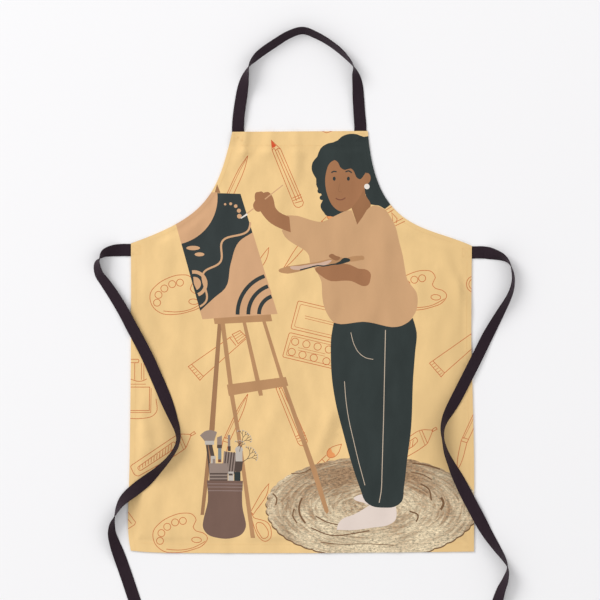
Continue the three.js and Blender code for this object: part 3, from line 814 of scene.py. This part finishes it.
# Creases as a line from end to end, half its width, and its height, all in millimetres.
CREASES = [
    (-110, 350, -121, 262, 9, 8.5), (-90, 330, -98, 262, 8, -2.6), (-101, 285, -134, 232, 12, -2.2),
    (-14, 345, -8, 215, 13, 6.5), (12, 330, 14, 250, 12, -2.4), (-62, 345, -68, 270, 12, 5.0),
    (-38, 320, -42, 240, 11, -2.0),
    (292, 78, 338, -46, 12, 4.2), (312, 72, 358, -36, 12, -1.9), (262, 60, 300, -60, 18, 3.2),
    (322, 30, 352, -70, 12, 3.4), (236, 40, 270, -120, 20, 2.6),
    (66, -236, 28, -352, 14, 5.2), (98, -240, 64, -346, 13, -2.0), (-57, -176, -55, -330, 20, 3.4),
    (-20, -190, -18, -300, 18, -1.6), (-300, 60, -250, -60, 24, 3.0), (-262, 60, -222, -80, 22, -1.6),
    (-330, -270, -300, -350, 16, 3.6), (-250, -330, -190, -450, 24, 2.2), (265, -150, 255, -330, 20, 2.6),
    (295, -120, 285, -220, 14, -1.6), (120, -40, 150, -300, 26, 2.8), (185, -60, 200, -320, 22, 2.2),
    (-140, 60, -90, -40, 20, 2.0), (30, 120, 60, -40, 24, 2.6), (90, 130, 110, 0, 18, -1.5),
    (160, 130, 180, 0, 22, 2.6), (-10, -400, 120, -520, 30, 2.4), (220, -400, 330, -500, 26, 2.4),
    (-300, -440, -200, -520, 22, 2.4), (-60, -430, -40, -530, 18, 2.0), (40, -505, 60, -545, 12, 2.2),
    (-160, -505, -150, -545, 10, 2.0), (200, -500, 190, -545, 12, 2.0),
]


def top_edge(name):
    """The outline of a cut piece's upper side, in order, in millimetres, read from the frame."""
    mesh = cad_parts[name].data
    top = max(v.co.z for v in mesh.vertices) - 1e-5
    place = [(round(v.co.x / MM, 3), round(v.co.y / MM, 3)) for v in mesh.vertices]
    used = {}
    for face in mesh.polygons:
        if all(mesh.vertices[i].co.z > top for i in face.vertices):
            ring = [place[i] for i in face.vertices]
            used.update(dict.fromkeys(zip(ring, ring[1:] + ring[:1])))
    follows = {a: b for a, b in used if (b, a) not in used}
    start = min(follows)
    out = [start]
    while follows[out[-1]] != start:
        out.append(follows[out[-1]])
    return np.array(out)


def from_line(x, y, marks, closed=True):
    """The distance of points from the line through a row of marks."""
    p = np.array(marks, float)
    ends = np.roll(p, -1, 0) if closed else p[1:]
    best = np.full(len(x), 1e9)
    for (ax, ay), (bx, by) in zip(p, ends):
        dx, dy = bx - ax, by - ay
        t = np.clip(((x - ax) * dx + (y - ay) * dy) / (dx * dx + dy * dy + 1e-9), 0, 1)
        best = np.minimum(best, np.hypot(x - ax - t * dx, y - ay - t * dy))
    return best


def within(outlines, x, y):
    """Whether points lie inside a shape with these outlines."""
    odd = np.zeros(len(x), bool)
    for outline in outlines:
        for (ax, ay), (bx, by) in zip(outline, np.roll(outline, -1, 0)):
            if ay != by:
                odd ^= ((ay > y) != (by > y)) & (x < (bx - ax) * (y - ay) / (by - ay) + ax)
    return odd


def ease(value, low, high):
    """0 below the low value and 1 above the high one, with a soft step between."""
    t = np.clip((value - low) / (high - low), 0, 1)
    return t * t * (3 - 2 * t)


outline = top_edge("front_panel")
hem_outlines = {name: top_edge(f"{name}_hem") for name in HEMS}


def ripple(x, y):
    """The slight unevenness of cloth that isn't pressed: long crossing waves."""
    out = np.zeros(len(x))
    for length, angle, phase, height in ((171, 0.5, 0.3, 1.0), (113, 0.35, 1.9, 0.8), (83, -0.4, 4.0, 0.65),
                                         (61, 0.2, 2.6, 0.5), (43, -0.15, 5.1, 0.3), (29, 0.1, 0.8, 0.12)):
        along = x * math.cos(angle) + y * math.sin(angle)
        across = -x * math.sin(angle) + y * math.cos(angle)
        wander = 0.8 * np.sin(across / length * 2.3 + phase)
        out += height * np.sin(along * 2 * math.pi / length + phase + wander)
    return out


def cloth_height(x, y):
    """The height of the cloth's face over the table, in millimetres."""
    x, y = np.asarray(x, float), np.asarray(y, float)
    hem = np.min([from_line(x, y, h) * ~within([h], x, y) for h in hem_outlines.values()], axis=0)
    free = ease(hem, 0, 16)
    height = EDGE_HEIGHT + (MIDDLE_HEIGHT - EDGE_HEIGHT) * free
    height -= 0.15 * np.exp(-((hem - 4) / 5) ** 2) * (hem > 0) * ease(hem, 0, 4)
    height += ripple(x, y) * (0.1 + 0.9 * free)
    for ax, ay, bx, by, wide, high in CREASES:
        dx, dy = bx - ax, by - ay
        length = math.hypot(dx, dy)
        s = ((x - ax) * dx + (y - ay) * dy) / length
        d = ((x - ax) * dy - (y - ay) * dx) / length
        fade = ease(s, -0.1 * length, 0.3 * length) * (1 - ease(s, 0.65 * length, 1.1 * length))
        on_hem = 0.6 if high > 0 else 0
        height += high * np.exp(-(d / wide) ** 2) * fade * (on_hem + (1 - on_hem) * free)
    for _, (centres, _, _) in TIES.values():
        near = from_line(x, y, centres[OVER_CLOTH, :2] / MM, closed=False)
        cover = 1 - ease(near, 14, 46)
        height = height * (1 - cover) + np.minimum(height, HEIGHT_UNDER_TIES + 0.05) * cover
        height += (HEIGHT_UNDER_TIES - height) * (1 - ease(near, 6, 30)) * free
    return np.maximum(height, 1 + CLOTH_THICKNESS + 1.05 * (hem <= 0))


def evenly(loop, step):
    """A closed outline with points no further apart than a step."""
    out = []
    for a, b in zip(loop, np.roll(loop, -1, 0)):
        count = max(1, int(np.ceil(np.linalg.norm(b - a) / step)))
        out += [a + (b - a) * i / count for i in range(count)]
    return np.array(out)


def top_shape(x, y):
    """The place in the print's order of the topmost shape at each point of the cloth; -1 on bare ground."""
    top = np.full(len(x), -1)
    for order, (_, outlines) in enumerate(PRINT):
        low = np.min([o.min(0) for o in outlines], 0)
        high = np.max([o.max(0) for o in outlines], 0)
        some = np.where((x > low[0]) & (x < high[0]) & (y > low[1]) & (y < high[1]))[0]
        if len(some):
            top[some[within(outlines, x[some], y[some])]] = order
    return top


def ink_at(x, y):
    """The number of the ink at each point of the cloth."""
    return np.array([INK_NUMBERS[name] for name, _ in PRINT] + [0])[top_shape(x, y)]


def cut_cloth():
    """The panel's triangles on the flat cloth, split along every edge of the print that shows."""
    loops = [(k, evenly(o, 12)) for k, (_, outlines) in enumerate(PRINT) for o in outlines]
    loops.append((len(PRINT), evenly(outline, 5)))
    starts = np.vstack([loop for _, loop in loops])
    order = np.concatenate([np.full(len(loop), k) for k, loop in loops])
    first = np.cumsum([0] + [len(loop) for _, loop in loops[:-1]])
    follows = np.concatenate([at + np.roll(np.arange(len(o)), -1) for at, (_, o) in zip(first, loops)])
    ends = starts[follows]
    hidden = np.ones(len(starts), bool)
    for share in (0, 0.25, 0.5, 0.75, 1):
        hidden &= top_shape(*(starts + (ends - starts) * share).T) > order
    edges = np.c_[np.arange(len(starts)), follows][~hidden]
    shown, edges = np.unique(edges, return_inverse=True)
    edges = edges.reshape(-1, 2)

    low, high = outline.min(0), outline.max(0)
    gx, gy = np.meshgrid(np.arange(low[0], high[0], GRID), np.arange(low[1], high[1], GRID_ROW))
    gx = gx + (np.arange(gx.shape[0]) % 2)[:, None] * GRID / 2
    gx, gy = gx.ravel(), gy.ravel()
    keep = within([outline], gx, gy) & (from_line(gx, gy, outline) > 2)
    places = np.vstack([starts[shown], np.c_[gx[keep], gy[keep]]])
    flat, _, faces, *_ = delaunay_2d_cdt(places.tolist(), edges.tolist(), [], 0, 0.01)
    flat = np.array([tuple(p) for p in flat])
    faces = np.array([f for f in faces if len(f) == 3])
    faces = faces[within([outline], *flat[faces].mean(1).T)]
    return flat, faces, ink_at(*flat[faces].mean(1).T)


def sew_rim(faces, shift):
    """The faces that join a sheet of triangles to its copy at an offset in the list of points."""
    pairs = {(a, b) for f in faces for a, b in ((f[0], f[1]), (f[1], f[2]), (f[2], f[0]))}
    return [(b, a, a + shift, b + shift) for a, b in pairs if (b, a) not in pairs]


flat, faces, ink = cut_cloth()
used = np.unique(faces)
renumber = np.zeros(len(flat), int)
renumber[used] = np.arange(len(used))
flat, faces = flat[used], renumber[faces]
top = cloth_height(*flat.T)
count = len(flat)
points = np.vstack([np.c_[flat, top], np.c_[flat, top - CLOTH_THICKNESS]]) * MM
rim = sew_rim(faces.tolist(), count)
raw_back = Nodes("cream_cloth_back")
flat_map, _ = canvas_weave(raw_back, 0.45)
slubs = raw_back.add("TexNoise", {"Vector": flat_map, "Scale": 60.0, "Detail": 4.0})
raw_back.set(Base_Color=raw_back.mix(slubs.outputs[0], linear("E6D8BC"), linear("F3EADA")), Roughness=0.92,
             Specular_IOR_Level=0.2)
panel = piece("printed_panel", points, faces.tolist() + (faces[:, ::-1] + count).tolist() + rim,
              [*INKS.values(), raw_back.material])
rim_ink = ink_at(*flat[[face[0] for face in rim]].T * JUST_INSIDE)
slots = np.r_[ink, np.full(len(faces), len(INKS)), rim_ink]
panel.data.polygons.foreach_set("material_index", slots.astype(np.int32))


def lay_weave(made):
    """The flat weave's coordinates: the points' own places across the table."""
    weave = made.data.uv_layers.new(name="weave")
    where = np.empty(len(made.data.vertices) * 3)
    made.data.vertices.foreach_get("co", where)
    corners = np.empty(len(made.data.loops), np.int32)
    made.data.loops.foreach_get("vertex_index", corners)
    weave.data.foreach_set("uv", where.reshape(-1, 3)[corners, :2].ravel())


def slope(x, y, dx, dy):
    """How steeply the cloth rises one way, from its height a little to both sides."""
    return (cloth_height(x + dx, y + dy) - cloth_height(x - dx, y - dy)) / (2 * (dx + dy))


lay_weave(panel)
facing = np.c_[-slope(*flat.T, 0.5, 0), -slope(*flat.T, 0, 0.5), np.ones(count)]
facing /= np.linalg.norm(facing, axis=1)[:, None]
corners = np.r_[facing[faces].reshape(-1, 3), -facing[faces[:, ::-1]].reshape(-1, 3)]
sideways = np.array([p.normal for p in panel.data.polygons[2 * len(faces):]])
panel.data.normals_split_custom_set(np.r_[corners, np.repeat(sideways, 4, axis=0)].tolist())
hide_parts("front_panel")
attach(panel, "apron")


# ---- Hems ----
# The panel's edge is turned under twice and lies flat behind it, cream on the back. The fold is rounded, and
# inked along the outside.
HEM_TOP, HEM_ROUND = 1.95, 0.5
# The rounded fold as how far it lies in from the hem's outline, and how high.
HEM_LEVELS = [(HEM_ROUND, 0.25), (0.1, 0.5), (-0.1, 1.1), (0.1, 1.65), (HEM_ROUND, HEM_TOP)]
for name, ring in hem_outlines.items():
    ring = evenly(ring, 8)
    points = np.vstack([np.c_[beside(ring, inset, True), np.full(len(ring), z)] for inset, z in HEM_LEVELS])
    n = len(ring)
    sides = [(s * n + i, s * n + (i + 1) % n, (s + 1) * n + (i + 1) % n, (s + 1) * n + i)
             for s in range(len(HEM_LEVELS) - 1) for i in range(n)]
    ring_edges = [(i, (i + 1) % n) for i in range(n)]
    caps = delaunay_2d_cdt([tuple(p) for p in points[-n:, :2]], ring_edges, [], 1, 1e-6)[2]
    top_cap = [tuple(i + n * (len(HEM_LEVELS) - 1) for i in f) for f in caps]
    low_cap = [tuple(reversed(f)) for f in caps]
    hem = piece(f"{name}_turned_hem", points * MM, sides + top_cap + low_cap,
                [*INKS.values(), raw_back.material])
    side_ink = np.tile(ink_at(*ring.T * JUST_INSIDE), len(HEM_LEVELS) - 1)
    slots = np.r_[side_ink, np.zeros(len(top_cap), int), np.full(len(caps), len(INKS))]
    hem.data.polygons.foreach_set("material_index", slots.astype(np.int32))
    lay_weave(hem)
    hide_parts(f"{name}_hem")
    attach(hem, "apron")


# ---- Hem and strap stitching ----
# Lockstitch in straw thread, one row round the inner edge of each hem and a box over each sewn strap end.
# Every stitch is a short plump length of thread that dips into the cloth, inked on the face by the print.
STITCH_LENGTH, STITCH_GAP, THREAD = 3.4, 0.55, 0.42
STITCH_RINGS = ((0, 0.35, -1.0), (0.14, 0.85, -0.3), (0.5, 1, 0), (0.86, 0.85, -0.3), (1, 0.35, -1.0))
STITCH_SIDES = 6


def middle_of_row(ring):
    """The centre line of a long thin strip, from its outline: its two shortest edges are its ends."""
    gaps = np.linalg.norm(np.roll(ring, -1, 0) - ring, axis=1)
    first, second = sorted(np.argsort(gaps)[:2])
    one = ring[first + 1:second + 1]
    other = np.roll(ring, -(second + 1), 0)[:len(ring) - len(one)][::-1]
    ahead = np.linspace(0, 1, max(len(one), len(other)))
    return sum(np.array([np.interp(ahead, np.linspace(0, 1, len(side)), side[:, i]) for i in (0, 1)]).T
               for side in (one, other)) / 2


def stitches(name, rows, height, material, below=False):
    """Rows of stitches along lines in millimetres, lying at a height that is worked out at each point."""
    shares, plump, dips = np.array(STITCH_RINGS).T
    turn = np.arange(STITCH_SIDES) * 2 * math.pi / STITCH_SIDES
    blocks = []
    for row in rows:
        row = np.array(row, float)
        length = np.r_[0, np.cumsum(np.linalg.norm(np.diff(row, axis=0), axis=1))]
        number = max(1, round(length[-1] / STITCH_LENGTH))
        pitch = length[-1] / number
        s = np.arange(number)[:, None] * pitch + STITCH_GAP / 2 + (pitch - STITCH_GAP) * shares
        x, y = (np.interp(s, length, row[:, i]) for i in (0, 1))
        level = height(x.ravel(), y.ravel()).reshape(x.shape) + dips * THREAD * (-0.45 if below else 0.45)
        heading = np.stack([x[:, -1] - x[:, 0], y[:, -1] - y[:, 0]], 1)
        heading /= np.linalg.norm(heading, axis=1)[:, None]
        across = np.cos(turn) * THREAD * plump[:, None]
        up = np.sin(turn) * THREAD * plump[:, None] * 0.6
        blocks.append(np.stack([x[..., None] - heading[:, 1, None, None] * across,
                                y[..., None] + heading[:, 0, None, None] * across,
                                level[..., None] + up], -1).reshape(-1, 3))
    points = np.vstack(blocks)
    rings, sides = len(STITCH_RINGS), STITCH_SIDES
    pattern = [(r + (i + 1) % sides, r + i, r + sides + i, r + sides + (i + 1) % sides)
               for r in range(0, (rings - 1) * sides, sides) for i in range(sides)]
    ends = [tuple(range(sides)), tuple(reversed(range((rings - 1) * sides, rings * sides)))]
    faces = [tuple(first + i for i in face) for first in range(0, len(points), rings * sides)
             for face in pattern + ends]
    return piece(name, points * MM, faces, [material])


def thread_material(name, code):
    """Twisted two-ply thread: a fine slanting ridge and a little shine. The colour carries painted shade,
    darker in the grooves between the plies.
    """
    n = Nodes(name)
    where = n.add("SeparateXYZ", [n.add("TexCoord").outputs["Object"]])
    slant = n.math("ADD", n.math("ADD", where.outputs[0], where.outputs[1]), where.outputs[2])
    ply = n.wave(slant, 0.55 * MM)
    n.bump(ply, 0.4, 0.08 * MM)
    # Painted shade: the thread is darker down in the grooves of the twist.
    dark = tuple(c * 0.8 for c in linear(code))
    return n.set(Base_Color=n.mix(ply, dark, linear(code)), Roughness=0.6, Specular_IOR_Level=0.3)


straw_thread = thread_material("straw_thread", "EACB93")
HEM_UNDERSIDE = 0.3


def under_hem(x, _):
    """The level of the bobbin's thread, on the back of a hem."""
    return np.full(len(x), HEM_UNDERSIDE)


def on_cloth(x, y):
    """The level of a stitch that lies in the face of the cloth."""
    return cloth_height(x, y) + 0.1


def take_ink(made):
    """Colours each stitch on the face with the ink of the print that it lies in."""
    for material in INKS.values():
        made.data.materials.append(material)
    middles = np.empty(len(made.data.polygons) * 3)
    made.data.polygons.foreach_get("center", middles)
    x, y, _ = middles.reshape(-1, 3).T / MM
    made.data.polygons.foreach_set("material_index", (ink_at(x, y) + 1).astype(np.int32))
    lay_weave(made)


for name in HEMS:
    row = middle_of_row(top_edge(f"{name}_stitching"))
    seen = stitches(f"{name}_stitches", [row], on_cloth, straw_thread)
    take_ink(seen)
    bobbin = stitches(f"{name}_stitches_behind", [row], under_hem, straw_thread, below=True)
    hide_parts(f"{name}_stitching")
    for made in (seen, bobbin):
        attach(made, "apron")

for name in ("neck_strap_left", "neck_strap_right", "left_tie", "right_tie"):
    low, high = (np.array(corner[:2]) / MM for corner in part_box(f"{name}_stitching"))
    (ax, ay), (bx, by) = low + 0.4, high - 0.4
    box_rows = [[(ax, ay), (bx, ay)], [(bx, ay), (bx, by)], [(bx, by), (ax, by)], [(ax, by), (ax, ay)],
                [(ax, ay), (bx, by)], [(ax, by), (bx, ay)]]
    boxed = stitches(f"{name}_box_stitches", box_rows, on_cloth, straw_thread)
    take_ink(boxed)
    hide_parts(f"{name}_stitching")
    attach(boxed, "apron")


# ---- Tie ends ----
# The end of each tie is turned back on itself over 14 mm, so that it can't fray, and stitched across with
# dark thread.
END_FOLD, BEND = 14 * MM, 1.0 * MM
dark_thread = thread_material("dark_thread", "4A3E46")
for side, (tie, (centres, across, out)) in TIES.items():
    end, left = centres[-1], across[-1]
    along = centres[-1] - centres[-2]
    along[2] = 0
    along /= np.linalg.norm(along)
    up = np.array([0.0, 0.0, 1.0])
    around = np.radians(np.linspace(0, 180, 9))
    bend = [end + along * BEND * math.sin(t) + up * BEND * (1 - math.cos(t)) for t in around]
    back = [bend[-1] - along * s for s in np.linspace(0, END_FOLD, 6)[1:]]
    faces_out = [up * math.cos(t) - along * math.sin(t) for t in around] + [-up] * len(back)
    fold = woven_strap(f"{side}_tie_turned_end", np.array(bend + back), np.array([left] * len(faces_out)),
                       np.array(faces_out), webbing)
    fold_top = (end[2] + 2 * BEND + STRAP_THICKNESS / 2) / MM
    row_middle = (end - along * (END_FOLD - 2.4 * MM))[:2] / MM
    reach = left[:2] / MM * (STRAP_WIDTH / 2 - 2 * MM)
    sewn = stitches(f"{side}_tie_end_stitches", [[row_middle - reach, row_middle + reach]],
                    lambda x, y: np.full(len(x), fold_top), dark_thread)
    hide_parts(f"{side}_tie_end_fold")
    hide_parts(f"{side}_tie_end_stitching")
    for made in (fold, sewn):
        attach(made, f"{side}_waist_tie")
    seam_x, seam_y = (LEFT_TIE_ROUTE if side == "left" else RIGHT_TIE_ROUTE)[0][:2]


# ---- Care label ----
# A blank label of white satin, on the back of the panel beside the left side hem. One row of stitches along
# one of its sides holds it.
low, high = (np.array(corner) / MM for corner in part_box("care_label"))
LABEL_THICKNESS = 0.25
lx, ly = np.meshgrid(np.linspace(low[0], high[0], 15), np.linspace(low[1], high[1], 20))
curl = 0.12 * np.sin(ly.ravel() / 9) * (lx.ravel() - low[0]) / (high[0] - low[0])
label_top = np.c_[lx.ravel(), ly.ravel(), low[2] + 0.3 + curl]
rows, columns = lx.shape
cells = [(r * columns + c, r * columns + c + 1, (r + 1) * columns + c + 1, (r + 1) * columns + c)
         for r in range(rows - 1) for c in range(columns - 1)]
tri = [t for a, b, c, d in cells for t in ((a, b, c), (a, c, d))]
count = len(label_top)
label_points = np.vstack([label_top, label_top - (0, 0, LABEL_THICKNESS)]) * MM
satin = Nodes("white_satin")
where = satin.add("SeparateXYZ", [satin.add("TexCoord").outputs["Object"]])
satin.bump(satin.wave(where.outputs[1], 0.4 * MM), 0.25, 0.05 * MM)
# Painted sheen: the satin's colour is mottled lighter and darker by a noise.
sheen_noise = satin.add("TexNoise", {"Scale": 90.0, "Detail": 2.0})
shimmer = satin.mix(sheen_noise.outputs[0], (0.78, 0.78, 0.76), (0.86, 0.86, 0.85))
satin.set(Base_Color=shimmer, Roughness=0.38, Specular_IOR_Level=0.5)
underside = [tuple(i + count for i in reversed(t)) for t in tri]
label = piece("blank_care_label", label_points, tri + underside + sew_rim(tri, count), [satin.material])
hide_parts("care_label")
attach(label, "apron")
low, high = (np.array(corner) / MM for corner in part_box("care_label_stitching"))
label_middle = (low + high) / 2
label_sewn = stitches("care_label_stitches", [[(label_middle[0], low[1]), (label_middle[0], high[1])]],
                      lambda x, y: np.full(len(x), label_middle[2] + 0.4), straw_thread, below=True)
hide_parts("care_label_stitching")
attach(label_sewn, "apron")


# ---- Table and light ----
# A pale matt table stands under two broad soft lamps. The stronger one is at the upper left, and even light
# comes from all round.
table_top = piece("table_top", [(-20, -20, 0), (20, -20, 0), (20, 20, 0), (-20, 20, 0)], [(0, 1, 2, 3)], [])
pale = Nodes("pale_table")
pale.set(Base_Color=(0.912, 0.905, 0.917), Roughness=0.9, Specular_IOR_Level=0.1)
table_top.data.materials.append(pale.material)
table_top.location.z = -0.2 * MM

bpy.context.scene.view_settings.view_transform = "Standard"
world = bpy.data.worlds.new("even_light")
world.use_nodes = True
sky = world.node_tree.nodes["Background"]
sky.inputs["Color"].default_value = (1, 1, 1, 1)
sky.inputs["Strength"].default_value = 0.67
bpy.context.scene.world = world

for name, place, size, energy in (("left_lamp", (-8.5, 6.5, 7.2), 7.0, 930),
                                  ("right_lamp", (8.6, 2.4, 7.6), 6.5, 130)):
    lamp_data = bpy.data.lights.new(name, "AREA")
    lamp_data.shape = "DISK"
    lamp_data.size = size
    lamp_data.energy = energy
    lamp = bpy.data.objects.new(name, lamp_data)
    lamp.location = place
    lamp.rotation_euler = (math.atan2(math.hypot(*place[:2]), place[2]), 0, math.atan2(place[0], -place[1]))
    bpy.context.scene.collection.objects.link(lamp)
